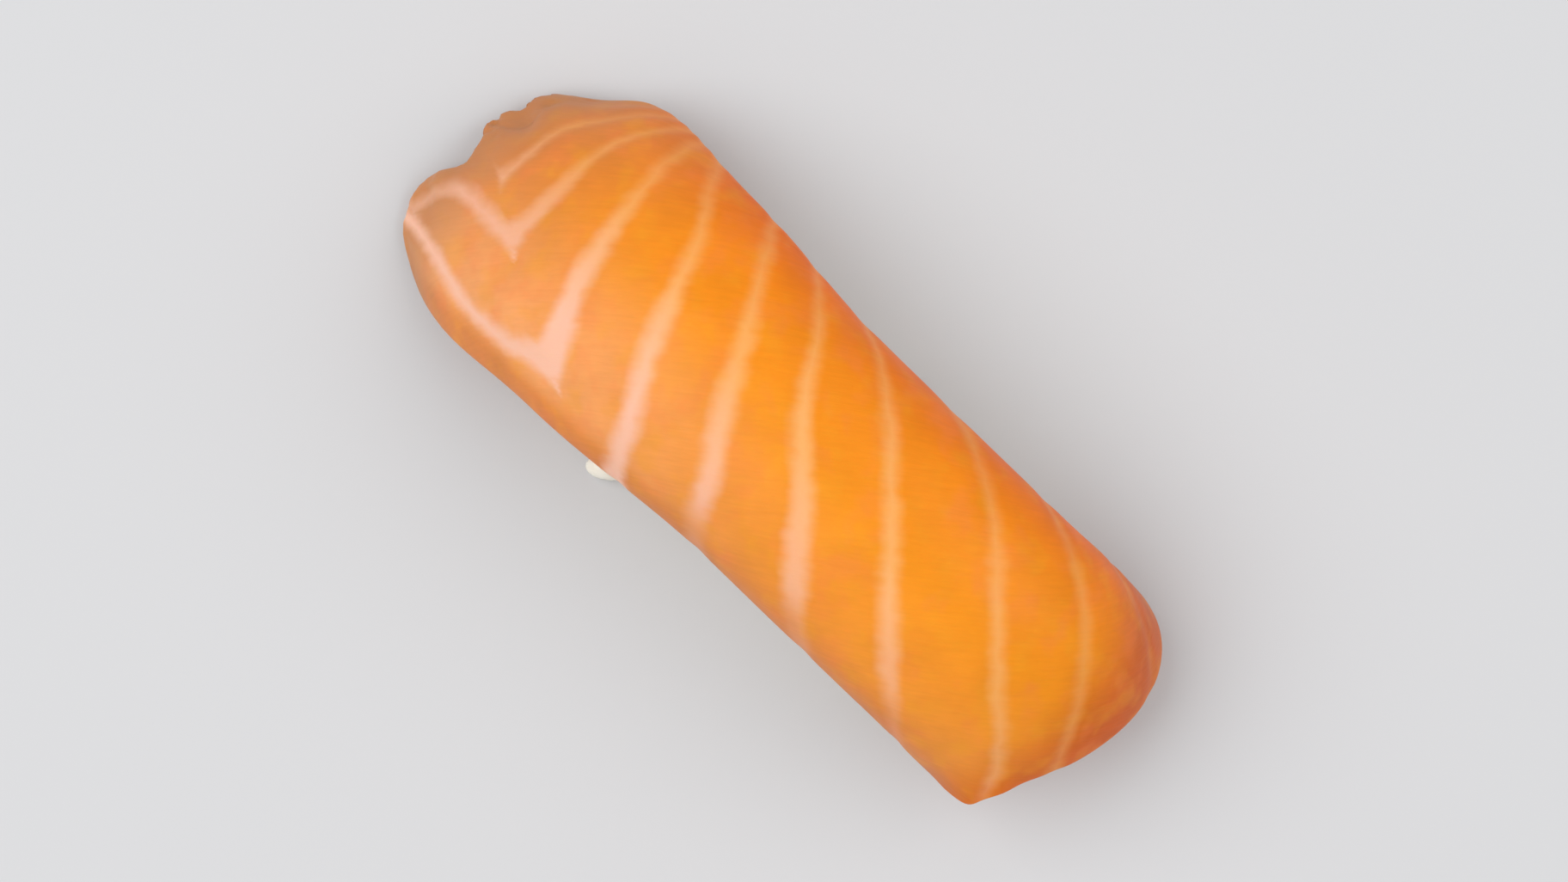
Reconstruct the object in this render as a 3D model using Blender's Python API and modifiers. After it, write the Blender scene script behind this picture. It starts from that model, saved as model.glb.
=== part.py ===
"""Salmon nigiri: a slice of raw salmon draped over a pressed block of sushi rice.

Metres, +Z up. +X runs along the nigiri, from the slice's thin tip to its square-cut end. The origin lies on the
surface that the nigiri stands on, under the middle of its box.
"""

import bmesh
import bpy
import numpy as np
from mathutils import Vector, noise
from mathutils.bvhtree import BVHTree

MM = 0.001

# Driving sizes, in millimetres.
SLICE_REACH = 43.4  # from the crest to either drooping end, seen from above
SLICE_HEIGHT = 26.5  # crest of the slice over the plate
SLICE_HALF_WIDTH = 18.4  # of the slice laid flat
SLICE_THICKNESS = 4.6
RICE_HALF_LENGTH = 30.5
RICE_HALF_WIDTH = 12.2
RICE_HEIGHT = 22.6  # before the slice presses it down
RICE_MIDDLE = 2.0  # the block's middle lies this far towards the cut end
RICE_WAIST = 6.5  # height at which the block is widest
RICE_DEPTH = 11.5  # how far the outline would reach under its waist, if the plate didn't cut it
RICE_BOXINESS = (3.2, 2.6, 2.5)  # along, across and up; at 2 the block would be an egg
RICE_ROUNDNESS = 2.7
PRESS_GAP = 0.75  # between the rice and the slice, so that the two solids stay apart
GRAIN_SIZE = 4.2  # mean spacing of the grains that show on the block
GRAIN_RELIEF = 0.7  # how deep the block's surface dips between them
GRAIN_SEAM = 0.55  # width of such a dip, as a share of the spacing

# How the slice droops: z falls from the crest as (1 - reach ** POWER) ** FULLNESS, to the end's own height.
TIP_POWER, TIP_FULLNESS, TIP_REST = 2.8, 0.92, 0.5
END_POWER, END_FULLNESS, END_REST = 4.0, 0.6, 0.6
FLANK_POWER = 1.4  # the flanks stay flat near the middle and turn down towards their edges
# How far the edges turn down: place along the slice, and degrees.
EDGE_BEND = ((-40, 60), (-24, 73), (2, 88), (26, 88), (40, 86))

# How the slice narrows: shares of the half width that the tip loses on its -Y and +Y sides, and the end on both,
# over the length of the taper.
TIP_LOSS, END_LOSS = {-1: 0.18, 1: 0.50}, 0.04
TAPER, TAPER_POWER = 24.0, 3
# How its two ends depart from a straight cut, dying away along the slice as a share of its length ** FADE.
FADE = 6
TIP_SLANT = 2.4  # how much shorter the +Y side is than the -Y side at the tip
END_SLANT = 19.0  # how much shorter the -Y side is than the +Y side at the cut end
# A nick in the tip, and the two -Y corners, which stand out: depth or reach, place and width as shares across.
TIP_NICK = (4.6, -0.12, 0.16)
TIP_CORNER, END_CORNER = (1.6, -0.72, 0.26), (3.2, -0.95, 0.26)

# Thickness, as shares of the slice's own: along the slice, from tip to end, and at its -Y and +Y edges.
THICKNESS_ALONG = ((0, 0.34), (0.22, 1), (0.8, 1), (1, 0.85))
EDGE_THICKNESS, EDGE_THINNING = {-1: 0.72, 1: 0.62}, 2.5
REST_GAP, REST_SOFTNESS = 0.15, 0.4  # between the slice and the plate, where it comes to lie flat

EDGE_CRISPNESS = 0.35  # of the knife-cut edges
CAGE_ALONG, CAGE_ACROSS = 28, 12
RICE_CELLS = (28, 12, 11)
SPINE_STEPS, FLANK_STEPS = 1200, 32


def smoothstep(low, high, value):
    share = np.clip((value - low) / (high - low), 0.0, 1.0)
    return share * share * (3.0 - 2.0 * share)


def blend(stops, value):
    """A smooth curve through (place, level) stops."""
    level = np.full_like(value, stops[0][1], dtype=float)
    for (low, before), (high, after) in zip(stops, stops[1:]):
        level += (after - before) * smoothstep(low, high, value)
    return level


def spine():
    """The slice's crest line seen from the side: length along it from the tip, x and z, in millimetres."""
    turn = np.linspace(-np.pi / 2, np.pi / 2, SPINE_STEPS + 1)
    x = SLICE_REACH * np.sin(turn)
    reach = np.abs(x) / SLICE_REACH
    tip = TIP_REST + (SLICE_HEIGHT - TIP_REST) * (1 - reach**TIP_POWER) ** TIP_FULLNESS
    end = END_REST + (SLICE_HEIGHT - END_REST) * (1 - reach**END_POWER) ** END_FULLNESS
    z = np.where(x < 0, tip, end)
    length = np.concatenate([[0.0], np.cumsum(np.hypot(np.diff(x), np.diff(z)))])
    return length, x, z


def half_width(from_tip, total, side):
    """Half width of the flat slice at a length from its tip, on the side whose sign is given."""
    to_go = np.clip(1 - from_tip / TAPER, 0, 1)
    loss = np.where(side < 0, TIP_LOSS[-1], TIP_LOSS[1]) * to_go**TAPER_POWER
    end = END_LOSS * smoothstep(total - TAPER, total, from_tip)
    return SLICE_HALF_WIDTH * (1 - loss - end)


def flank(across, bend):
    """Where a flank reaches at shares of its width (0 to 1): sideways and down, as shares of its width."""
    steps = (np.arange(FLANK_STEPS) + 0.5) / FLANK_STEPS
    angle = bend[..., None] * (across[..., None] * steps) ** FLANK_POWER
    return across * np.cos(angle).mean(-1), across * np.sin(angle).mean(-1)


def thickness_share(along, across):
    """The slice's thickness at along (0 tip to 1 end) and across (-1 to 1), as a share of its own."""
    edge = np.where(across < 0, EDGE_THICKNESS[-1], EDGE_THICKNESS[1])
    return (1 - (1 - edge) * np.abs(across) ** EDGE_THINNING) * blend(THICKNESS_ALONG, along)


def bump(across, height, place, width):
    return height * np.exp(-(((across - place) / width) ** 2))


def drape(along, across):
    """The slice's outer face, in millimetres, at along (0 tip to 1 end) and across (-1 to 1)."""
    length, crest_x, crest_z = spine()
    total = length[-1]
    by_tip, by_end = (1 - along) ** FADE, along**FADE
    from_tip = along * total
    from_tip += by_tip * (bump(across, *TIP_NICK) + TIP_SLANT * (1 + across) / 2)
    from_tip -= by_end * END_SLANT * (1 - across) / 2
    x = np.interp(from_tip, length, crest_x)
    z = np.interp(from_tip, length, crest_z)
    slope = np.arctan2(np.gradient(crest_z, length), np.gradient(crest_x, length))
    tilt = np.interp(from_tip, length, slope)
    side, down = flank(np.abs(across), np.radians(blend(EDGE_BEND, x)))
    width = half_width(from_tip, total, np.sign(across))
    y = np.sign(across) * side * width
    x = x + down * width * np.sin(tilt)
    x += by_end * bump(across, *END_CORNER) - by_tip * bump(across, *TIP_CORNER)
    z = z - down * width * np.cos(tilt)
    rest = SLICE_THICKNESS * thickness_share(along, across) + REST_GAP
    z = 0.5 * (z + rest + np.hypot(z - rest, REST_SOFTNESS))
    return np.stack([x, y, z], axis=-1)


def material(name, colour, roughness):
    made = bpy.data.materials.new(name)
    made.use_nodes = True
    shader = made.node_tree.nodes["Principled BSDF"]
    shader.inputs["Base Color"].default_value = (*colour, 1)
    shader.inputs["Roughness"].default_value = roughness
    return made


def adopt(made, name, collection, finish):
    """Names an object, gives it its material and puts it in the nigiri's collection."""
    made.name = made.data.name = name
    for other in list(made.users_collection):
        other.objects.unlink(made)
    collection.objects.link(made)
    made.data.materials.append(finish)
    return made


def salmon_slice(collection):
    """The draped slice: a flat grid laid over the rice, given its thickness and rounded."""
    bpy.ops.mesh.primitive_grid_add(x_subdivisions=CAGE_ALONG, y_subdivisions=CAGE_ACROSS, size=2)
    finish = material("raw_salmon", (0.95, 0.32, 0.05), 0.32)
    made = adopt(bpy.context.object, "salmon_slice", collection, finish)
    flat = np.array([v.co for v in made.data.vertices])
    along = (flat[:, 0] + 1) / 2
    across = flat[:, 1]
    made.data.vertices.foreach_set("co", (drape(along, across) * MM).ravel())
    group = made.vertex_groups.new(name="thickness")
    for index, share in enumerate(thickness_share(along, across)):
        group.add([index], float(share), "REPLACE")
    thicken = made.modifiers.new("Thickness", "SOLIDIFY")
    thicken.thickness = SLICE_THICKNESS * MM
    thicken.offset = -1
    thicken.vertex_group = group.name
    thicken.edge_crease_outer = EDGE_CRISPNESS
    thicken.edge_crease_inner = EDGE_CRISPNESS
    round_off = made.modifiers.new("Rounding", "SUBSURF")
    round_off.levels = round_off.render_levels = 1
    made.data.shade_smooth()
    return made


def grain_relief(point):
    """How far the block's surface dips at a point, from 0 on a grain to 1 between grains."""
    scaled = Vector(point) / GRAIN_SIZE
    near, next_near = noise.voronoi(scaled)[0][:2]
    return 1 - min(1.0, (next_near - near) / GRAIN_SEAM)


def pressed(point, slice_faces):
    """Where a point of the rice ends up under the slice: below its underside, with the gap between them."""
    nearest, outwards, _, distance = slice_faces.find_nearest(point)
    if (point - nearest).dot(outwards) < 0:
        distance = -distance
    if distance > PRESS_GAP * MM:
        return point
    return nearest + outwards * PRESS_GAP * MM


def rice_block(collection, cover):
    """The block of rice under its cover: a rounded box with a flat foot, and the relief of its grains."""
    slice_faces = BVHTree.FromObject(cover, bpy.context.evaluated_depsgraph_get())
    grid = bmesh.new()
    bmesh.ops.create_cube(grid, size=2)
    for axis, cells in enumerate(RICE_CELLS):
        along = [e for e in grid.edges if abs(e.verts[0].co[axis] - e.verts[1].co[axis]) > 1]
        bmesh.ops.subdivide_edges(grid, edges=along, cuts=cells - 1, use_grid_fill=True)
    for vertex in grid.verts:
        reach = sum(abs(share) ** power for share, power in zip(vertex.co, RICE_BOXINESS))
        x, y, z = vertex.co / reach ** (1 / RICE_ROUNDNESS)
        height = RICE_WAIST + z * (RICE_HEIGHT - RICE_WAIST if z > 0 else RICE_DEPTH)
        point = Vector((RICE_MIDDLE + x * RICE_HALF_LENGTH, y * RICE_HALF_WIDTH, height))
        outwards = Vector((x, y, max(z, 0))).normalized()
        point -= outwards * GRAIN_RELIEF * grain_relief(point)
        point.z = max(point.z, 0)
        vertex.co = pressed(point * MM, slice_faces)
    mesh = bpy.data.meshes.new("rice")
    grid.to_mesh(mesh)
    grid.free()
    made = bpy.data.objects.new("rice", mesh)
    bpy.context.scene.collection.objects.link(made)
    mesh.shade_smooth()
    return adopt(made, "rice", collection, material("sushi_rice", (0.86, 0.84, 0.78), 0.5))


def centre_on_origin(objects):
    """Slides the nigiri so that the origin is under the middle of its box."""
    graph = bpy.context.evaluated_depsgraph_get()
    corners = []
    for made in objects:
        mesh = made.evaluated_get(graph).to_mesh()
        corners += [v.co.copy() for v in mesh.vertices]
    for axis in range(2):
        values = [corner[axis] for corner in corners]
        middle = (min(values) + max(values)) / 2
        for made in objects:
            for vertex in made.data.vertices:
                vertex.co[axis] -= middle


def main():
    for old in list(bpy.data.objects):
        bpy.data.objects.remove(old)
    nigiri = bpy.data.collections.new("salmon_nigiri")
    bpy.context.scene.collection.children.link(nigiri)
    cover = salmon_slice(nigiri)
    centre_on_origin([cover, rice_block(nigiri, cover)])


main()
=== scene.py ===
"""Salmon nigiri: a slice of raw salmon draped over a pressed block of sushi rice.

Metres, +Z up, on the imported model. +X runs along the nigiri, from the slice's thin tip to its square-cut end.
Sizes of the food are named in millimetres, and become metres where a mesh is made.
"""

import bmesh
import bpy
import numpy as np
from mathutils import Matrix, Vector, noise


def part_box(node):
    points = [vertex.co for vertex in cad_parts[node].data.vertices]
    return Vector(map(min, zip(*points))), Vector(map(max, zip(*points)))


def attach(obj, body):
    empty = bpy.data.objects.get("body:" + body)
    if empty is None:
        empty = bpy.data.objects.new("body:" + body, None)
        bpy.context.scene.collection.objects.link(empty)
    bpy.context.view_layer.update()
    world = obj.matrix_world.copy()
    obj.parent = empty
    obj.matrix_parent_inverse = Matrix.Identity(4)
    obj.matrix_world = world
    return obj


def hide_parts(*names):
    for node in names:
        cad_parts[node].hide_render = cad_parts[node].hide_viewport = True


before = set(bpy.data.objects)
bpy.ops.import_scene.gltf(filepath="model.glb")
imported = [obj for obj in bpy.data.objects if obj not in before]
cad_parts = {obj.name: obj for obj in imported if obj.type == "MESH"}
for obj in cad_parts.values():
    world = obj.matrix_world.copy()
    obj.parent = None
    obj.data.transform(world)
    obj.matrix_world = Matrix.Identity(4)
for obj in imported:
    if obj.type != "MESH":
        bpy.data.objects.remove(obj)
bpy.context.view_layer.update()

MM = 0.001

# ------------------------------------------------------------------------------------- the slice's shape

SLICE_REACH = 43.4  # from the crest to either drooping end, seen from above
SLICE_HEIGHT = 26.5  # crest of the slice over the plate
SLICE_HALF_WIDTH = 18.4  # of the slice laid flat
SLICE_THICKNESS = 4.6

# How the slice droops: z falls from the crest as (1 - reach ** POWER) ** FULLNESS, to the end's own height.
TIP_POWER, TIP_FULLNESS, TIP_REST = 2.8, 0.92, 0.5
END_POWER, END_FULLNESS, END_REST = 4.0, 0.6, 0.6
FLANK_POWER = 1.4  # the flanks stay flat near the middle and turn down towards their edges
# How far the edges turn down: place along the slice, and degrees.
EDGE_BEND = ((-40, 60), (-24, 73), (2, 88), (26, 88), (40, 86))

# How the slice narrows: shares of the half width that the tip loses on its -Y and +Y sides, and the end on
# both, over the length of the taper.
TIP_LOSS, END_LOSS = {-1: 0.18, 1: 0.50}, 0.04
TAPER, TAPER_POWER = 24.0, 3
# How its two ends depart from a straight cut, dying away along the slice as a share of its length ** FADE.
FADE = 6
TIP_SLANT = 2.4  # how much shorter the +Y side is than the -Y side at the tip
END_SLANT = 19.0  # how much shorter the -Y side is than the +Y side at the cut end
# A nick in the tip, and the two -Y corners, which stand out: how far each goes, and its place and width as
# shares across.
TIP_NICK = (4.6, -0.12, 0.16)
TIP_CORNER, END_CORNER = (1.6, -0.72, 0.26), (3.2, -0.95, 0.26)

# Thickness, as shares of the slice's own: along the slice, from tip to end, and at its -Y and +Y edges.
THICKNESS_ALONG = ((0, 0.34), (0.22, 1), (0.8, 1), (1, 0.85))
EDGE_THICKNESS, EDGE_THINNING = {-1: 0.72, 1: 0.62}, 2.5
REST_GAP, REST_SOFTNESS = 0.15, 0.4  # between the slice and the plate, where it comes to lie flat

EDGE_CRISPNESS = 0.35  # of the knife-cut edges
CAGE_ALONG, CAGE_ACROSS = 28, 12
SPINE_STEPS, FLANK_STEPS = 1200, 32
FINE_LEVELS = 3

# Fine shapes of the slice's outline seen from above: the middle of each, how far it moves and its width.
OUTLINE_SHIFTS = (
    ((34.8, -12.6), (1.1, -0.5), 2.0),
    ((37.2, -10.2), (0.7, -0.2), 2.0),
    ((-36.0, 11.0), (0.7, -0.5), 4.0),
    ((-40.8, -5.2), (-0.8, 0.0), 2.2),
    ((-40.4, 4.6), (0.9, 0.0), 1.7),
)

# Smooth noise, here and below, is a list of waves: how far each moves a value, the size of its features, and
# its seed.

# How deep the surface lies under the smooth sheet: along each fat line, and in slow waves over the flesh.
LINE_DIP, FLESH_SINK = 0.10, 0.16
FLESH_WAVES = ((0.5, 11.0, 21.0),)
# The torn tip: where along the laid-flat slice it starts and is full, how far it is drawn in everywhere, and
# how deep its tears go at two places across it.
TORN_FROM, TORN_TO = -46.0, -54.0
TORN_INSET = 0.1
TEAR_DEPTHS = ((-4, 0.6), (3, 2.2))
TEAR_WAVES = ((1.0, 2.2, 5.0), (0.35, 0.9, 9.0))

# ----------------------------------------------------------------------------------------- the fat lines

# The lines, counted from the tip: where each runs along the laid-flat slice, from the crest, at these places
# across it.
LINE_STOPS = (-14, -9, -3, 3, 9, 15)
LINES = (
    (-42.0, -42.0, -42.2, -42.6, -42.3, -39.5),
    (-34.0, -34.4, -35.2, -35.6, -36.3, -35.8),
    (-21.4, -23.4, -25.6, -27.3, -29.3, -31.8),
    (-11.2, -12.6, -15.6, -18.2, -21.0, -26.6),
    (-0.9, -2.7, -6.0, -9.2, -12.6, -16.6),
    (12.2, 9.0, 4.7, -0.8, -4.8, -8.9),
    (26.8, 21.9, 16.2, 10.7, 4.9, -0.5),
    (41.6, 39.2, 31.0, 24.7, 18.8, 12.2),
    (56.0, 51.0, 43.0, 37.8, 32.4, 26.0),
    (72.0, 68.0, 60.0, 55.0, 49.0, 42.0),
)
# Half their widths at these places across the slice, and how far each covers the flesh there.
WIDTH_STOPS = (-9, -3, 3, 9)
LINE_HALVES = (
    (0.35, 0.35, 0.35, 0.35),
    (0.8, 0.95, 0.85, 0.5),
    (1.35, 1.15, 0.85, 0.5),
    (0.85, 0.85, 0.85, 0.6),
    (1.1, 0.95, 0.75, 0.55),
    (1.2, 1.05, 0.75, 0.5),
    (0.85, 0.8, 0.7, 0.5),
    (0.4, 0.6, 0.6, 0.5),
    (0.45, 0.45, 0.6, 0.7),
    (0.3, 0.3, 0.3, 0.3),
)
LINE_COVERS = (
    (0.50, 0.50, 0.54, 0.44),
    (0.72, 0.64, 0.54, 0.50),
    (0.96, 0.90, 0.74, 0.52),
    (0.95, 0.90, 0.82, 0.53),
    (0.78, 0.82, 0.76, 0.56),
    (0.70, 0.84, 0.90, 0.60),
    (0.62, 0.90, 0.74, 0.60),
    (0.50, 0.67, 0.65, 0.43),
    (0.34, 0.38, 0.35, 0.38),
    (0.10, 0.10, 0.10, 0.10),
)
# Near the tip each line turns back along the slice: where its turned arm runs across it, at these places
# along it.
ARM_STOPS = (-52, -49.5, -47, -42, -36, -30, -24)
ARMS = (
    (3.0, 2.4, 2.0, 1.5, 1.5, 1.5, 1.5),
    (-2.2, -1.8, -1.4, -1.1, -1.2, -1.5, -1.5),
    (-9.4, -7.0, -4.9, -4.4, -4.5, -5.0, -6.0),
    (-10.7, -10.6, -10.7, -11.6, -12.7, -12.7, -11.5),
    (-17.0, -17.6, -18.2, -19.5, -21.0, -21.0, -20.5),
    (-24.0, -24.5, -25.2, -26.0, -28.0, -28.0, -28.0),
)
# Half an arm's width, and where it takes over from the line's own: how far the straight runs are ahead of the
# arms there, in spacings of the lines.
ARM_HALF, ARM_FROM, ARM_TO = 0.65, 0.1, -0.3
# How rounded a line's turn is, in the same measure: at its middle, and inside the turn.
TURN_ROUNDING, INNER_ROUNDING = 0.1, 0.32
# How much a line swells at its turn, and over how many spacings.
TURN_SWELL, TURN_SPREAD = 0.35, 0.2
# The spur at a turn: how far its fat goes beyond each place in it and over how many spacings, and how many
# spacings past the line it ends and is still whole.
SPUR_HALF, SPUR_SPREAD = 0.5, 0.14
SPUR_END, SPUR_WHOLE = 0.5, 0.1

LINE_SWAY = ((0.35, 9.0, 3.1), (0.2, 3.5, 7.7))  # waves of the lines along the slice
LINE_LIFT = ((0.3, 8.0, 15.5),)  # and across it
LINE_WAVES = ((0.22, 4.0, 12.3),)  # waves of their widths, as shares
# Where the lines fade: how much of them goes, and the fields that it goes by, each with the value where the
# fading starts and the one where it is full.
LINE_FADES = (
    (1.0, ("apart", 0.1, -0.2), ("phase", 0.7, 0.4)),  # the first line's arm
    (0.4, ("along", -45.5, -48.5), ("phase", 1.6, 1.3)),  # the first two lines, at the very tip
    (1.0, ("phase", -0.4, -0.7)),  # what lies beyond the first line
    (0.75, ("across", -9, -14), ("phase", 3.3, 3.9)),  # the -Y edge, but for the first four lines
    (0.33, ("across", 9, 14)),  # the +Y edge
)
SLOPE_STEP = 0.2  # over which the slope of the phase is taken
LEAST_SLOPE = 0.03  # phases to a millimetre
FAT_FIELDS = ("fat_phase", "fat_reach", "fat_half", "fat_cover")


def curve(places, levels, value):
    """A smooth curve through levels at rising places, straight beyond both ends. The places and levels may be
    the same for all values, or each value may have its own."""
    places, levels = (
        np.broadcast_to(np.reshape(np.asarray(given, float), (len(given), -1)), (len(given), len(value)))
        for given in (places, levels)
    )
    rise = np.empty_like(places)
    rise[1:-1] = (levels[2:] - levels[:-2]) / (places[2:] - places[:-2])
    rise[0] = (levels[1] - levels[0]) / (places[1] - places[0])
    rise[-1] = (levels[-1] - levels[-2]) / (places[-1] - places[-2])
    span = np.clip((places <= value).sum(0) - 1, 0, len(places) - 2)
    each = np.arange(len(value))
    width = places[span + 1, each] - places[span, each]
    share = (value - places[span, each]) / width
    inside = np.clip(share, 0, 1)
    a, b = levels[span, each], levels[span + 1, each]
    p, q = rise[span, each] * width, rise[span + 1, each] * width
    smooth = (
        a * (1 + 2 * inside) * (1 - inside) ** 2
        + p * inside * (1 - inside) ** 2
        + b * inside**2 * (3 - 2 * inside)
        + q * inside**2 * (inside - 1)
    )
    return smooth + (share - inside) * np.where(share > 1, q, p)


def smoothstep(low, high, value):
    """A share that goes smoothly from 0 at low to 1 at high."""
    share = np.clip((value - low) / (high - low), 0.0, 1.0)
    return share * share * (3.0 - 2.0 * share)


def wander(along, across, waves):
    """Smooth noise at places on a surface, as the sum of its waves."""
    return sum(
        reach * np.array([noise.noise((u / grain, v / grain, seed)) for u, v in zip(along, across)])
        for reach, grain, seed in waves
    )


def rounded(apart, rounding):
    """What a rounded corner adds to the greater of two fields that differ by the given amount."""
    return 0.5 * rounding * np.exp(-np.abs(apart) / rounding)


def fat_phase(along, across):
    """A field over the laid-flat slice that is a whole number on each fat line, counted from the tip, and how
    far the lines' straight runs are past their turned arms there."""
    lines = [curve(LINE_STOPS, line, across) for line in LINES]
    straight = curve(lines, np.arange(len(LINES)), along)
    arms = [-curve(ARM_STOPS, arm, np.clip(along, ARM_STOPS[0], ARM_STOPS[-1])) for arm in ARMS]
    turned = curve(arms, np.arange(len(ARMS)) - 1, -across)
    apart = straight - turned
    return np.maximum(straight, turned) + rounded(apart, TURN_ROUNDING), apart


def by_line(rows, phase, across):
    """Reads a table with a row for each fat line and a column for each of WIDTH_STOPS."""
    rows = np.array([np.interp(across, WIDTH_STOPS, row) for row in rows])
    below = np.clip(np.floor(phase).astype(int), 0, len(rows) - 2)
    each, share = np.arange(len(phase)), np.clip(phase - below, 0, 1)
    return rows[below, each] * (1 - share) + rows[below + 1, each] * share


def fat_fields(along, across):
    """The FAT_FIELDS over the laid-flat slice: the phase of the fat lines, the length of flesh to one phase
    and half the lines' width in millimetres, and how far the fat covers the flesh."""
    u, v = along + wander(along, across, LINE_SWAY), across + wander(along, across, LINE_LIFT)
    phase, apart = fat_phase(u, v)
    by_along = (fat_phase(u + SLOPE_STEP, v)[0] - phase) / SLOPE_STEP
    by_across = (fat_phase(u, v + SLOPE_STEP)[0] - phase) / SLOPE_STEP
    reach = 1 / np.maximum(np.hypot(by_along, by_across), LEAST_SLOPE)

    half = by_line(LINE_HALVES, phase, across)
    half += (ARM_HALF - half) * smoothstep(ARM_FROM, ARM_TO, apart)
    half *= 1 + wander(along, across, LINE_WAVES)
    # Each line swells where it turns back, and all but the first throw a short spur there.
    past = phase - np.round(phase)
    fillet = rounded(apart, INNER_ROUNDING) - rounded(apart, TURN_ROUNDING)
    half += np.where(past < 0, fillet * reach, TURN_SWELL * np.exp(-((apart / TURN_SPREAD) ** 2)))
    spur = np.exp(-((apart / SPUR_SPREAD) ** 2)) * smoothstep(SPUR_END, SPUR_WHOLE, past)
    spur *= (past > 0) & (phase > 0.5)
    half = np.maximum(half, spur * (past * reach + SPUR_HALF))

    cover = by_line(LINE_COVERS, phase, across)
    fields = {"along": along, "across": across, "phase": phase, "apart": apart}
    for gone, *ranges in LINE_FADES:
        for name, start, full in ranges:
            gone = gone * smoothstep(start, full, fields[name])
        cover *= 1 - gone
    return phase, reach, half, cover


# ------------------------------------------------------------------------------------- the sheet's drape


def blend(stops, value):
    """A smooth curve through (place, level) stops, level at each of them."""
    level = np.full_like(value, stops[0][1], dtype=float)
    for (low, before), (high, after) in zip(stops, stops[1:]):
        level += (after - before) * smoothstep(low, high, value)
    return level


def spine():
    """The slice's crest line seen from the side: length along it from the tip, x and z, in millimetres."""
    turn = np.linspace(-np.pi / 2, np.pi / 2, SPINE_STEPS + 1)
    x = SLICE_REACH * np.sin(turn)
    reach = np.abs(x) / SLICE_REACH
    tip = TIP_REST + (SLICE_HEIGHT - TIP_REST) * (1 - reach**TIP_POWER) ** TIP_FULLNESS
    end = END_REST + (SLICE_HEIGHT - END_REST) * (1 - reach**END_POWER) ** END_FULLNESS
    z = np.where(x < 0, tip, end)
    length = np.concatenate([[0.0], np.cumsum(np.hypot(np.diff(x), np.diff(z)))])
    return length, x, z


def half_width(from_tip, total, side):
    """Half width of the flat slice at a length from its tip, on the side whose sign is given."""
    to_go = np.clip(1 - from_tip / TAPER, 0, 1)
    loss = np.where(side < 0, TIP_LOSS[-1], TIP_LOSS[1]) * to_go**TAPER_POWER
    end = END_LOSS * smoothstep(total - TAPER, total, from_tip)
    return SLICE_HALF_WIDTH * (1 - loss - end)


def flank(across, bend):
    """Where a flank reaches at shares of its width (0 to 1): sideways and down, as shares of its width."""
    steps = (np.arange(FLANK_STEPS) + 0.5) / FLANK_STEPS
    angle = bend[..., None] * (across[..., None] * steps) ** FLANK_POWER
    return across * np.cos(angle).mean(-1), across * np.sin(angle).mean(-1)


def thickness_share(along, across):
    """The slice's thickness at along (0 tip to 1 end) and across (-1 to 1), as a share of its own."""
    edge = np.where(across < 0, EDGE_THICKNESS[-1], EDGE_THICKNESS[1])
    return (1 - (1 - edge) * np.abs(across) ** EDGE_THINNING) * blend(THICKNESS_ALONG, along)


def bump(across, height, place, width):
    """A smooth bump over shares across the slice."""
    return height * np.exp(-(((across - place) / width) ** 2))


def drape(along, across):
    """The slice's outer face at along (0 tip to 1 end) and across (-1 to 1), and its places on the slice laid
    flat: along it from the crest and across it. In millimetres."""
    length, crest_x, crest_z = spine()
    total = length[-1]
    by_tip, by_end = (1 - along) ** FADE, along**FADE
    from_tip = along * total
    from_tip += by_tip * (bump(across, *TIP_NICK) + TIP_SLANT * (1 + across) / 2)
    from_tip -= by_end * END_SLANT * (1 - across) / 2
    x = np.interp(from_tip, length, crest_x)
    z = np.interp(from_tip, length, crest_z)
    slope = np.arctan2(np.gradient(crest_z, length), np.gradient(crest_x, length))
    tilt = np.interp(from_tip, length, slope)
    side, down = flank(np.abs(across), np.radians(blend(EDGE_BEND, x)))
    width = half_width(from_tip, total, np.sign(across))
    y = np.sign(across) * side * width
    x = x + down * width * np.sin(tilt)
    x += by_end * bump(across, *END_CORNER) - by_tip * bump(across, *TIP_CORNER)
    z = z - down * width * np.cos(tilt)
    # Where it would go through the plate, its underside eases into lying flat on it.
    rest = SLICE_THICKNESS * thickness_share(along, across) + REST_GAP
    z = 0.5 * (z + rest + np.hypot(z - rest, REST_SOFTNESS))
    flat = np.stack([from_tip - np.interp(0.0, crest_x, length), across * width, 0 * x], axis=-1)
    return np.stack([x, y, z], axis=-1), flat


# ------------------------------------------------------------------------------------ small mesh helpers


def rows_of(data, field):
    """A field of vectors of a mesh's vertices, or of an attribute's data, as an array with a row for each."""
    values = np.empty(len(data) * 3, np.float32)
    data.foreach_get(field, values)
    return values.reshape(-1, 3).astype(float)


def write(mesh, name, values):
    """Stores one number, or one vector, for each vertex of a mesh."""
    vector = values.ndim == 2
    made = mesh.attributes.new(name, "FLOAT_VECTOR" if vector else "FLOAT", "POINT")
    made.data.foreach_set("vector" if vector else "value", values.astype(np.float32).ravel())


def placed(name, data):
    """A new object in the scene for a mesh, a lamp or a camera."""
    made = bpy.data.objects.new(name, data)
    bpy.context.scene.collection.objects.link(made)
    return made


def plain_mesh(made, name):
    """Turns an object and its modifiers into a new object with a plain mesh, and removes the old one."""
    graph = bpy.context.evaluated_depsgraph_get()
    mesh = bpy.data.meshes.new_from_object(made.evaluated_get(graph), depsgraph=graph)
    mesh.name = name
    bpy.data.objects.remove(made)
    return placed(name, mesh)


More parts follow.
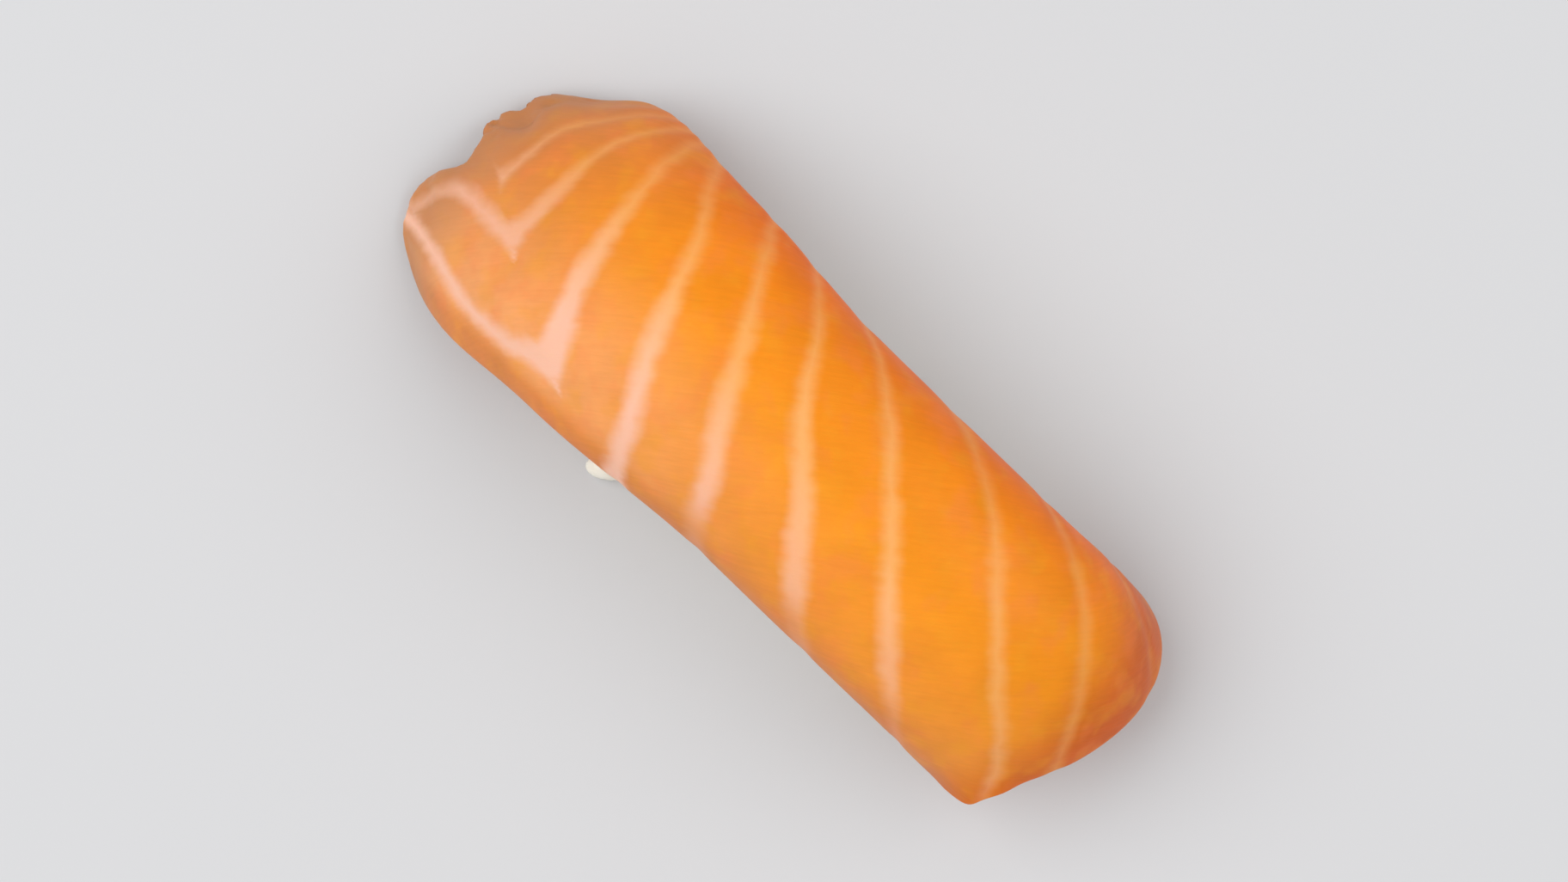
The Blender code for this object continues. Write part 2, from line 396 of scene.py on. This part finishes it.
def joined(pieces, name):
    """Joins pieces into one object with a plain mesh."""
    first = pieces[0]
    with bpy.context.temp_override(
        active_object=first, object=first, selected_objects=pieces, selected_editable_objects=pieces
    ):
        bpy.ops.object.join()
    first.name = first.data.name = name
    return first


def centred(piece, node):
    """Slides a piece level so that the middle of its box is over the middle of a node's."""
    low, high = (np.array(corner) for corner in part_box(node))
    points = rows_of(piece.data.vertices, "co")
    middle = (points.min(0) + points.max(0)) / 2
    points[:, :2] += ((low + high) / 2 - middle)[:2]
    piece.data.vertices.foreach_set("co", points.ravel())


# --------------------------------------------------------------------------------------------- materials

# The flesh's muscle fibres, and how far they turn from the slice's own length, in radians.
FIBRE_LENGTH, FIBRE_THICKNESS, FIBRE_TURN = 4.0, 0.45, 0.65
# A fat line's soft edge: it starts to thin this far inside its half width, and is gone this far outside it.
FAT_INSIDE, FAT_OUTSIDE = 0.85, 0.95


def colour(code):
    """An sRGB hex colour as the linear one that a shader takes."""
    shares = [int(code[i : i + 2], 16) / 255 for i in (1, 3, 5)]
    return (*[s / 12.92 if s <= 0.04045 else ((s + 0.055) / 1.055) ** 2.4 for s in shares], 1.0)


def add(tree, kind, settings=(), inputs=()):
    """Adds a node with its settings; an input takes a value, or another node's socket to link from."""
    made = tree.nodes.new(kind)
    for name, value in dict(settings).items():
        setattr(made, name, value)
    for key, value in dict(inputs).items():
        if isinstance(value, bpy.types.NodeSocket):
            tree.links.new(value, made.inputs[key])
        else:
            made.inputs[key].default_value = value
    return made


def blank_material(name):
    """A new material and its empty node tree."""
    made = bpy.data.materials.new(name)
    made.use_nodes = True
    tree = made.node_tree
    tree.nodes.clear()
    return made, tree


def fat_share(tree, flat, fibre_way):
    """How far fat covers the flesh: by the distance to the nearest line, which strays a little over the slice
    and feathers out along the fibres."""
    phase, reach, half, cover = (
        add(tree, "ShaderNodeAttribute", {"attribute_name": name}).outputs["Fac"] for name in FAT_FIELDS
    )
    # Both go by noise with features of 2.5 mm: the way it runs, its own range, and how many millimetres it
    # moves a line.
    shifts = []
    for way, low, high, most in ((flat, 0.25, 0.75, 0.25), (fibre_way, 0.3, 0.7, 0.13)):
        cloud = add(
            tree, "ShaderNodeTexNoise", inputs={"Vector": way, "Scale": 0.4, "Detail": 2.0, "Roughness": 0.5}
        ).outputs["Fac"]
        shift = add(
            tree,
            "ShaderNodeMapRange",
            inputs={"Value": cloud, "From Min": low, "From Max": high, "To Min": -most, "To Max": most},
        )
        shifts.append(shift.outputs[0])
    stray, feather = shifts
    stray = add(tree, "ShaderNodeMath", {"operation": "DIVIDE"}, {0: stray, 1: reach}).outputs[0]
    strayed = add(tree, "ShaderNodeMath", {"operation": "ADD"}, {0: phase, 1: stray}).outputs[0]
    to_line = add(tree, "ShaderNodeMath", {"operation": "PINGPONG"}, {0: strayed, 1: 0.5}).outputs[0]
    to_line = add(tree, "ShaderNodeMath", {"operation": "MULTIPLY"}, {0: to_line, 1: reach}).outputs[0]
    to_line = add(tree, "ShaderNodeMath", {"operation": "ADD"}, {0: to_line, 1: feather}).outputs[0]
    inner = add(tree, "ShaderNodeMath", {"operation": "SUBTRACT"}, {0: half, 1: FAT_INSIDE}).outputs[0]
    outer = add(tree, "ShaderNodeMath", {"operation": "ADD"}, {0: half, 1: FAT_OUTSIDE}).outputs[0]
    fat = add(
        tree,
        "ShaderNodeMapRange",
        {"interpolation_type": "SMOOTHSTEP"},
        {"Value": to_line, "From Min": inner, "From Max": outer, "To Min": 1.0, "To Max": 0.0},
    ).outputs[0]
    return add(tree, "ShaderNodeMath", {"operation": "MULTIPLY"}, {0: fat, 1: cover}).outputs[0]


def fat_colour(tree, place):
    """Fat is pinkish cream near the tip and the -Y edge, and yellower towards the cut end and the +Y edge."""
    # It goes mostly by the place across the slice, and a little by the place along it.
    warmth = add(tree, "ShaderNodeMath", {"operation": "MULTIPLY"}, {0: place["Y"], 1: 1.6}).outputs[0]
    warmth = add(
        tree, "ShaderNodeMath", {"operation": "MULTIPLY_ADD"}, {0: place["X"], 1: 0.25, 2: warmth}
    ).outputs[0]
    warmth = add(
        tree,
        "ShaderNodeMapRange",
        inputs={"Value": warmth, "From Min": -16.0, "From Max": 2.0, "To Min": 0.0, "To Max": 1.0},
    ).outputs[0]
    return add(
        tree,
        "ShaderNodeMix",
        {"data_type": "RGBA"},
        {"Factor": warmth, "A": colour("#fec4a9"), "B": colour("#fdb76e")},
    ).outputs["Result"]


def flesh_colour(tree, flat, place, fibre):
    """Flesh is deep orange in the middle, with a painted sheen at the -Y side, painted shade at both edges, the
    tip and the cut end, and painted orange bounce light at the +Y edge.
    """
    # Across the slice the middle stops are the flesh's own orange; the darker -Y edge is painted shade where
    # the flank turns down, the paler stop beside it is painted sheen, and the deeper +Y edge is painted shade
    # and painted orange bounce light.
    by_width = add(
        tree,
        "ShaderNodeMapRange",
        inputs={"Value": place["Y"], "From Min": -18.0, "From Max": 18.0, "To Min": 0.0, "To Max": 1.0},
    ).outputs[0]
    ramp = add(tree, "ShaderNodeValToRGB", inputs={"Fac": by_width})
    stops = ramp.color_ramp.elements
    for stop, code in zip(stops, ("#d67a38", "#ee6a0a")):
        stop.color = colour(code)
    for share, code in ((0.2, "#f39636"), (0.5, "#f79519"), (0.75, "#f78d17")):
        stops.new(share).color = colour(code)
    flesh = ramp.outputs["Color"]

    # Parts of the slice, by the place along it (X) or across it (Y): where each starts and is full, and its
    # share at the two.
    parts = {}
    for name, axis, start, full, least, most in (
        ("tip", "X", -16.0, -50.0, 0.0, 1.0),
        ("tip_half", "X", 12.0, -28.0, 0.0, 1.0),
        ("tip_edge", "X", -39.0, -50.0, 0.0, 0.7),
        ("painted_shade_end", "X", 34.0, 46.0, 0.0, 1.0),
        ("near_side", "Y", 5.0, -13.0, 0.0, 1.0),
        ("inside_edge", "Y", -15.5, -12.5, 0.1, 1.0),
    ):
        parts[name] = add(
            tree,
            "ShaderNodeMapRange",
            {"interpolation_type": "SMOOTHSTEP"},
            {"Value": place[axis], "From Min": start, "From Max": full, "To Min": least, "To Max": most},
        ).outputs[0]
    # A painted sheen on the -Y side of the tip half, fading out just inside the -Y edge.
    painted_sheen = parts["near_side"]
    for name in ("tip_half", "inside_edge"):
        painted_sheen = add(tree, "ShaderNodeMath", {"operation": "MULTIPLY"}, {0: painted_sheen, 1: parts[name]}).outputs[0]

    # Patches of the pigment, about 3.5 mm across, are yellower here and pinker there.
    patches = add(tree, "ShaderNodeTexNoise", inputs={"Vector": flat, "Scale": 0.28, "Detail": 2.0})
    patches = add(tree, "ShaderNodeSeparateColor", inputs={0: patches.outputs["Color"]}).outputs
    yellower, pinker = (
        add(
            tree,
            "ShaderNodeMapRange",
            inputs={"Value": patches[name], "From Min": low, "From Max": high, "To Min": 0.0, "To Max": most},
        ).outputs[0]
        for name, low, high, most in (("Red", 0.5, 0.68, 0.3), ("Green", 0.52, 0.7, 0.25))
    )
    # The tip and the cut end are darkened with painted shade where they droop away from the light, the -Y side
    # is lightened with the painted sheen, and the yellower and pinker patches are the flesh's own.
    for share, code in (
        (parts["tip"], "#de8440"),
        (painted_sheen, "#f8a769"),
        (parts["painted_shade_end"], "#d45e04"),
        (yellower, "#f3a022"),
        (pinker, "#f58347"),
    ):
        flesh = add(
            tree, "ShaderNodeMix", {"data_type": "RGBA"}, {"Factor": share, "A": flesh, "B": colour(code)}
        ).outputs["Result"]

    # It is mottled as well, finely along the fibres and slowly over the slice, about 6 mm across.
    mottle = add(
        tree, "ShaderNodeTexNoise", inputs={"Vector": flat, "Scale": 0.16, "Detail": 3.0}
    ).outputs["Fac"]
    fine, slow = (
        add(
            tree,
            "ShaderNodeMapRange",
            inputs={"Value": cloud, "From Min": 0.3, "From Max": 0.7, "To Min": dark, "To Max": light},
        ).outputs[0]
        for cloud, dark, light in ((fibre, 0.965, 1.035), (mottle, 0.94, 1.06))
    )
    shade = add(tree, "ShaderNodeMath", {"operation": "MULTIPLY"}, {0: fine, 1: slow}).outputs[0]
    flesh = add(tree, "ShaderNodeVectorMath", {"operation": "SCALE"}, {0: flesh, "Scale": shade}).outputs[0]
    return add(
        tree,
        "ShaderNodeMix",
        {"data_type": "RGBA"},
        {"Factor": parts["tip_edge"], "A": flesh, "B": colour("#bb8158")},
    ).outputs["Result"]


def raw_salmon():
    """Raw farmed salmon, knife-cut across the grain: orange flesh in blocks between cream fat lines, moist,
    with an even soft sheen. The -Y side is paler with a painted sheen, and the +Y side deeper with painted
    shade and orange bounce light."""
    made, tree = blank_material("raw_salmon_cut")
    flat = add(tree, "ShaderNodeAttribute", {"attribute_name": "laid_flat"}).outputs["Vector"]
    place = add(tree, "ShaderNodeSeparateXYZ", inputs={0: flat}).outputs
    # Muscle fibres run across the blocks of flesh.
    fibre_way = add(
        tree,
        "ShaderNodeMapping",
        {"vector_type": "TEXTURE"},
        {"Vector": flat, "Rotation": (0, 0, FIBRE_TURN), "Scale": (FIBRE_LENGTH, FIBRE_THICKNESS, 1.0)},
    ).outputs[0]
    fibre = add(
        tree,
        "ShaderNodeTexNoise",
        inputs={"Vector": fibre_way, "Scale": 1.0, "Detail": 4.0, "Roughness": 0.65},
    ).outputs["Fac"]
    surface = add(
        tree,
        "ShaderNodeMix",
        {"data_type": "RGBA"},
        {
            "Factor": fat_share(tree, flat, fibre_way),
            "A": flesh_colour(tree, flat, place, fibre),
            "B": fat_colour(tree, place),
        },
    ).outputs["Result"]
    relief = add(
        tree, "ShaderNodeBump", inputs={"Height": fibre, "Strength": 0.25, "Distance": 0.12 * MM}
    ).outputs[0]
    shader = add(
        tree,
        "ShaderNodeBsdfPrincipled",
        inputs={
            "Base Color": surface,
            "Roughness": 0.36,
            "IOR": 1.4,
            "Specular IOR Level": 0.2,
            "Subsurface Weight": 0.15,
            "Subsurface Radius": (0.004, 0.0012, 0.0005),
            "Subsurface Scale": 0.4,
            "Normal": relief,
        },
    )
    add(tree, "ShaderNodeOutputMaterial", inputs={"Surface": shader.outputs[0]})
    return made


def cooked_rice():
    """Cooked short-grain rice, dressed with vinegar: warm white, slightly see-through at the skin of each
    grain, some grains whiter than others, with a damp sheen."""
    made, tree = blank_material("cooked_sushi_rice")
    grain = add(tree, "ShaderNodeAttribute", {"attribute_name": "grain"}).outputs["Fac"]
    here = add(tree, "ShaderNodeTexCoord").outputs["Object"]
    # Clouds about 1.4 mm across, so that each grain has several.
    cloud = add(
        tree, "ShaderNodeTexNoise", inputs={"Vector": here, "Scale": 0.7 / MM, "Detail": 2.0}
    ).outputs["Fac"]
    tone = add(tree, "ShaderNodeMath", {"operation": "MULTIPLY"}, {0: grain, 1: 0.5}).outputs[0]
    tone = add(tree, "ShaderNodeMath", {"operation": "MULTIPLY_ADD"}, {0: cloud, 1: 0.5, 2: tone}).outputs[0]
    white = add(
        tree,
        "ShaderNodeMix",
        {"data_type": "RGBA"},
        {"Factor": tone, "A": colour("#f9f0dd"), "B": colour("#fffbf0")},
    ).outputs["Result"]
    relief = add(
        tree, "ShaderNodeBump", inputs={"Height": cloud, "Strength": 0.5, "Distance": 0.5 * MM}
    ).outputs[0]
    shader = add(
        tree,
        "ShaderNodeBsdfPrincipled",
        inputs={
            "Base Color": white,
            "Roughness": 0.18,
            "IOR": 1.45,
            "Subsurface Weight": 0.3,
            "Subsurface Radius": (0.0011, 0.001, 0.0009),
            "Subsurface Scale": 1.0,
            "Normal": relief,
        },
    )
    add(tree, "ShaderNodeOutputMaterial", inputs={"Surface": shader.outputs[0]})
    return made


def matt_paper():
    """Matt paper: pale, even and without a sheen."""
    made, tree = blank_material("matt_paper_floor")
    shader = add(
        tree, "ShaderNodeBsdfPrincipled", inputs={"Base Color": colour("#d8d9dc"), "Roughness": 0.9}
    )
    add(tree, "ShaderNodeOutputMaterial", inputs={"Surface": shader.outputs[0]})
    return made


# --------------------------------------------------------------------------------------------- the slice


def smooth_slice():
    """The draped slice without its relief: the solid's own cage, given its thickness and made fine."""
    bpy.ops.mesh.primitive_grid_add(x_subdivisions=CAGE_ALONG, y_subdivisions=CAGE_ACROSS, size=2)
    cage = bpy.context.object
    square = rows_of(cage.data.vertices, "co")
    along, across = (square[:, 0] + 1) / 2, square[:, 1]
    points, flat = drape(along, across)
    cage.data.vertices.foreach_set("co", (points * MM).ravel())
    write(cage.data, "laid_flat", flat)
    group = cage.vertex_groups.new(name="thickness")
    for index, share in enumerate(thickness_share(along, across)):
        group.add([index], float(share), "REPLACE")
    thicken = cage.modifiers.new("Thickness", "SOLIDIFY")
    thicken.thickness = SLICE_THICKNESS * MM
    thicken.offset = -1
    thicken.vertex_group = group.name
    thicken.edge_crease_outer = EDGE_CRISPNESS
    thicken.edge_crease_inner = EDGE_CRISPNESS
    finer = cage.modifiers.new("Fine surface", "SUBSURF")
    finer.levels = finer.render_levels = FINE_LEVELS
    return plain_mesh(cage, "salmon_slice_cut")


def salmon_slice():
    """The draped slice, with the low relief of its fat lines, its torn tip and its fine outline."""
    piece = smooth_slice()
    mesh = piece.data
    points = rows_of(mesh.vertices, "co") / MM
    flat = rows_of(mesh.attributes["laid_flat"].data, "vector")
    along, across = flat[:, 0], flat[:, 1]
    fields = fat_fields(along, across)
    phase, reach = fields[:2]
    to_line = np.abs(phase - np.round(phase)) * reach
    dip = LINE_DIP * np.exp(-(to_line**2))
    sink = FLESH_SINK * (0.5 + wander(along, across, FLESH_WAVES))
    points -= rows_of(mesh.vertices, "normal") * (dip + sink)[:, None]
    torn = TORN_INSET + blend(TEAR_DEPTHS, across) * wander(points[:, 2], across, TEAR_WAVES)
    points[:, 0] += smoothstep(TORN_FROM, TORN_TO, along) * np.maximum(torn, 0)
    for middle, push, width in OUTLINE_SHIFTS:
        share = np.exp(-((points[:, :2] - middle) ** 2).sum(1) / width**2)
        points[:, :2] += share[:, None] * push
    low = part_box("salmon_slice")[0][2] / MM
    points[:, 2] = np.maximum(points[:, 2], low)
    mesh.vertices.foreach_set("co", (points * MM).ravel())
    for name, values in zip(FAT_FIELDS, fields):
        write(mesh, name, values)
    return piece


# ---------------------------------------------------------------------------------------------- the rice

GRAIN_LENGTH, GRAIN_WIDTH, GRAIN_DEPTH = 6.5, 2.8, 2.5
GRAIN_FULLNESS, GRAIN_BEND = 0.5, 0.5  # how much fuller its ends are than a ball's, and how far it bends
GRAIN_SMALLEST, GRAIN_LARGEST = (0.8, 0.86, 0.9), (1.06, 1.1, 1.06)  # as shares of depth, width and length
GRAIN_TILT = 0.35  # how far a grain leans out of the surface it lies on, in radians
GRAIN_LAYERS = ((1.3, 2.5, 4), (2.6, 2.6, 9))  # depth under the block's outline, spacing and seed of each
GRAIN_TRIES = 0.4  # to a square millimetre, before the spacing thins them out
PRESSED_FOOT = 0.35  # how high the lowest grains are pressed flat on the plate
CORE_INSET = 2.9  # of the plain core that fills the block behind the grains
SMOOTHING_ROUNDS = 2  # of the block's outline, before it is drawn in
# The loose grain at the foot of the block: its place, its turn in radians, how far it is lifted off the
# plate, its lowest point, and how white it is, from the warmer grains (0) to the whiter ones (1).
LOOSE_PLACE, LOOSE_TURN = (-9.7, -12.8), 0.9
LOOSE_LIFT, LOOSE_LOWEST = 0.1, 0.02
LOOSE_TONE = 0.8


def inner_block(name, inset):
    """The block's outline, drawn in by a distance in millimetres."""
    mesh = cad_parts["rice"].data.copy()
    mesh.name = name
    mesh.materials.clear()
    work = bmesh.new()
    work.from_mesh(mesh)
    bmesh.ops.remove_doubles(work, verts=work.verts, dist=0.01 * MM)
    for _ in range(SMOOTHING_ROUNDS):
        bmesh.ops.smooth_vert(
            work, verts=work.verts, factor=0.5, use_axis_x=True, use_axis_y=True, use_axis_z=True
        )
    work.normal_update()
    for vertex, out in [(v, v.normal.copy()) for v in work.verts]:
        vertex.co -= out * inset * MM
    work.to_mesh(mesh)
    work.free()
    mesh.shade_smooth()
    return placed(name, mesh)


def grain_nodes(tree, given):
    """One grain, lying along X: a ball made fuller towards its ends, bent a little and stretched to size."""
    ball = add(
        tree, "GeometryNodeMeshUVSphere", inputs={"Segments": 10, "Rings": 8, "Radius": 0.5}
    ).outputs["Mesh"]
    here = add(tree, "GeometryNodeInputPosition").outputs[0]
    spot = add(tree, "ShaderNodeSeparateXYZ", inputs={0: here}).outputs
    squared = add(tree, "ShaderNodeMath", {"operation": "MULTIPLY"}, {0: spot["Z"], 1: spot["Z"]}).outputs[0]
    fuller = add(
        tree, "ShaderNodeMath", {"operation": "MULTIPLY"}, {0: squared, 1: given["Fullness"]}
    ).outputs[0]
    wide_x = add(tree, "ShaderNodeMath", {"operation": "MULTIPLY"}, {0: fuller, 1: spot["X"]}).outputs[0]
    wide_y = add(tree, "ShaderNodeMath", {"operation": "MULTIPLY"}, {0: fuller, 1: spot["Y"]}).outputs[0]
    bent = add(
        tree, "ShaderNodeMath", {"operation": "MULTIPLY_ADD"}, {0: squared, 1: given["Bend"], 2: wide_y}
    ).outputs[0]
    push = add(tree, "ShaderNodeCombineXYZ", inputs={"X": wide_x, "Y": bent}).outputs[0]
    shaped = add(tree, "GeometryNodeSetPosition", inputs={"Geometry": ball, "Offset": push})
    size = add(
        tree,
        "ShaderNodeCombineXYZ",
        inputs={"X": given["Grain depth"], "Y": given["Grain width"], "Z": given["Grain length"]},
    )
    grain = add(
        tree, "GeometryNodeTransform", inputs={"Geometry": shaped.outputs[0], "Scale": size.outputs[0]}
    )
    # Its length, the ball's own Z, is laid level before it is scattered.
    return add(
        tree, "GeometryNodeTransform", inputs={"Geometry": grain.outputs[0], "Rotation": (0, np.pi / 2, 0)}
    ).outputs[0]


def grain_tree(material):
    """Scatters grains of rice over a surface, lying on it at all angles, and makes them real."""
    tree = bpy.data.node_groups.new("rice_grains", "GeometryNodeTree")
    tree.interface.new_socket("Geometry", in_out="INPUT", socket_type="NodeSocketGeometry")
    for name in ("Grain length", "Grain width", "Grain depth", "Fullness", "Bend", "Spacing"):
        tree.interface.new_socket(name, in_out="INPUT", socket_type="NodeSocketFloat")
    tree.interface.new_socket("Seed", in_out="INPUT", socket_type="NodeSocketInt")
    tree.interface.new_socket("Geometry", in_out="OUTPUT", socket_type="NodeSocketGeometry")
    given = add(tree, "NodeGroupInput").outputs
    spots = add(
        tree,
        "GeometryNodeDistributePointsOnFaces",
        {"distribute_method": "POISSON"},
        {
            "Mesh": given["Geometry"],
            "Distance Min": given["Spacing"],
            "Density Max": GRAIN_TRIES / MM**2,
            "Seed": given["Seed"],
        },
    )
    rows = add(
        tree,
        "GeometryNodeInstanceOnPoints",
        inputs={
            "Points": spots.outputs["Points"],
            "Instance": grain_nodes(tree, given),
            "Rotation": spots.outputs["Rotation"],
        },
    )
    turn, growth = (
        add(
            tree,
            "FunctionNodeRandomValue",
            {"data_type": "FLOAT_VECTOR"},
            {"Min": least, "Max": most, "Seed": given["Seed"]},
        )
        for least, most in (
            ((-GRAIN_TILT, -GRAIN_TILT, 0.0), (GRAIN_TILT, GRAIN_TILT, 2 * np.pi)),
            (GRAIN_SMALLEST, GRAIN_LARGEST),
        )
    )
    turned = add(
        tree,
        "GeometryNodeRotateInstances",
        inputs={"Instances": rows.outputs[0], "Rotation": turn.outputs[0]},
    )
    grown = add(
        tree,
        "GeometryNodeScaleInstances",
        inputs={"Instances": turned.outputs[0], "Scale": growth.outputs[0]},
    )
    tone = add(
        tree,
        "FunctionNodeRandomValue",
        {"data_type": "FLOAT"},
        {"Min": 0.0, "Max": 1.0, "Seed": given["Seed"]},
    )
    toned = add(
        tree,
        "GeometryNodeStoreNamedAttribute",
        {"data_type": "FLOAT", "domain": "INSTANCE"},
        {"Geometry": grown.outputs[0], "Name": "grain", "Value": tone.outputs["Value"]},
    )
    real = add(tree, "GeometryNodeRealizeInstances", inputs={"Geometry": toned.outputs[0]})
    smooth = add(tree, "GeometryNodeSetShadeSmooth", inputs={"Geometry": real.outputs[0]})
    dressed = add(
        tree, "GeometryNodeSetMaterial", inputs={"Geometry": smooth.outputs[0], "Material": material}
    )
    add(tree, "NodeGroupOutput", inputs={"Geometry": dressed.outputs[0]})
    return tree


def grain_layer(name, tree, inset, spacing, seed):
    """One layer of the block's grains, at a depth under its outline."""
    made = inner_block(name, inset)
    scatter = made.modifiers.new("Grains", "NODES")
    scatter.node_group = tree
    values = {
        "Grain length": GRAIN_LENGTH * MM,
        "Grain width": GRAIN_WIDTH * MM,
        "Grain depth": GRAIN_DEPTH * MM,
        "Fullness": GRAIN_FULLNESS,
        "Bend": GRAIN_BEND,
        "Spacing": spacing * MM,
        "Seed": seed,
    }
    for item in tree.interface.items_tree:
        if item.in_out == "INPUT" and item.name in values:
            scatter[item.identifier] = values[item.name]
    piece = plain_mesh(made, name)
    points = rows_of(piece.data.vertices, "co")
    # The lowest grains are pressed flat on the plate.
    foot = PRESSED_FOOT * MM
    pressed = foot * np.exp((points[:, 2] - foot) / foot)
    points[:, 2] = np.where(points[:, 2] < foot, pressed, points[:, 2])
    piece.data.vertices.foreach_set("co", points.ravel())
    return piece


def loose_grain(name, finish):
    """One grain that has come half away from the foot of the block and shows beyond the slice's -Y edge."""
    turn = Matrix.Rotation(LOOSE_TURN, 3, "Z")
    middle = Vector((*LOOSE_PLACE, GRAIN_DEPTH / 2 + LOOSE_LIFT))
    work = bmesh.new()
    bmesh.ops.create_uvsphere(work, u_segments=12, v_segments=10, radius=0.5)
    for vertex in work.verts:
        x, y, z = vertex.co
        fuller = 1 + GRAIN_FULLNESS * z * z
        across, up, along = x * fuller + GRAIN_BEND * z * z, y * fuller, z
        stretched = Vector((along * GRAIN_LENGTH, across * GRAIN_WIDTH, up * GRAIN_DEPTH))
        vertex.co = (turn @ stretched + middle) * MM
        vertex.co.z = max(vertex.co.z, LOOSE_LOWEST * MM)
    bmesh.ops.recalc_face_normals(work, faces=work.faces)
    mesh = bpy.data.meshes.new(name)
    work.to_mesh(mesh)
    work.free()
    mesh.shade_smooth()
    mesh.materials.append(finish)
    write(mesh, "grain", np.full(len(mesh.vertices), LOOSE_TONE))
    return placed(name, mesh)


# -------------------------------------------------------------------- floor, light and camera, in metres

FLOOR_SIZE = 4
LAMP_SIZE, LAMP_AIM = 1.2, (0, 0, 0.01)
LAMPS = (("key", (-0.60, -0.42, 1.05), 7.8), ("fill", (0.62, 0.62, 1.00), 4.6))  # place and watts of each
SKY_COLOUR, SKY_STRENGTH = (1.0, 0.99, 0.97, 1.0), 0.56
# The camera is straight above its target but for a small step to the right and up in its own view.
VIEW_HEIGHT, VIEW_STEP, VIEW_TARGET = 1.2, (0.019, 0.010), (0, 0, 0.013)
VIEW_TURN, VIEW_WIDTH = 44.0, 0.148  # degrees, and the width that fills the view


def lay_floor():
    """A plain pale floor under the nigiri."""
    bpy.ops.mesh.primitive_plane_add(size=FLOOR_SIZE)
    floor = bpy.context.object
    floor.name = "floor"
    floor.data.materials.append(matt_paper())


def hang_lights():
    """Two large soft lamps, and an even warm sky."""
    for name, place, power in LAMPS:
        lamp = bpy.data.lights.new(name, "AREA")
        lamp.shape = "DISK"
        lamp.size = LAMP_SIZE
        lamp.energy = power
        shine = placed(name, lamp)
        shine.location = place
        shine.rotation_euler = (Vector(LAMP_AIM) - Vector(place)).to_track_quat("-Z", "Y").to_euler()
    world = bpy.data.worlds.new("studio")
    world.use_nodes = True
    sky = world.node_tree.nodes["Background"].inputs
    sky["Color"].default_value = SKY_COLOUR
    sky["Strength"].default_value = SKY_STRENGTH
    bpy.context.scene.world = world
    bpy.context.scene.view_settings.view_transform = "Standard"


def set_camera():
    """Straight above the nigiri but for a degree, with the cut end towards the lower right."""
    turn = np.radians(VIEW_TURN)
    right = Vector((np.cos(turn), np.sin(turn), 0))
    up = Vector((-np.sin(turn), np.cos(turn), 0))
    target = Vector(VIEW_TARGET)
    spot = target + Vector((0, 0, VIEW_HEIGHT)) + right * VIEW_STEP[0] + up * VIEW_STEP[1]
    back = (spot - target).normalized()
    across = (right - back * right.dot(back)).normalized()
    above = back.cross(across)
    made = placed("camera", bpy.data.cameras.new("camera"))
    made.matrix_world = Matrix.Translation(spot) @ Matrix((across, above, back)).transposed().to_4x4()
    made.data.lens = made.data.sensor_width * VIEW_HEIGHT / VIEW_WIDTH
    made.data.clip_start = 0.01
    bpy.context.scene.camera = made


# -------------------------------------------------------------------------------------------- the nigiri

salmon = salmon_slice()
centred(salmon, "salmon_slice")
salmon.data.materials.clear()
salmon.data.materials.append(raw_salmon())
salmon.data.shade_smooth()

rice_finish = cooked_rice()
core = inner_block("rice_core", CORE_INSET)
core.data.materials.append(rice_finish)
scattering = grain_tree(rice_finish)
layers = [
    grain_layer(f"grain_layer_{index}", scattering, *layer) for index, layer in enumerate(GRAIN_LAYERS)
]
grains = joined([*layers, loose_grain("loose_grain", rice_finish)], "rice_grains")

for piece, node, finish in (
    (salmon, "salmon_slice", "raw_salmon"),
    (core, "rice", "sushi_rice"),
    (grains, "rice", "sushi_rice"),
):
    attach(piece, "root")
    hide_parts(node)

lay_floor()
hang_lights()
set_camera()
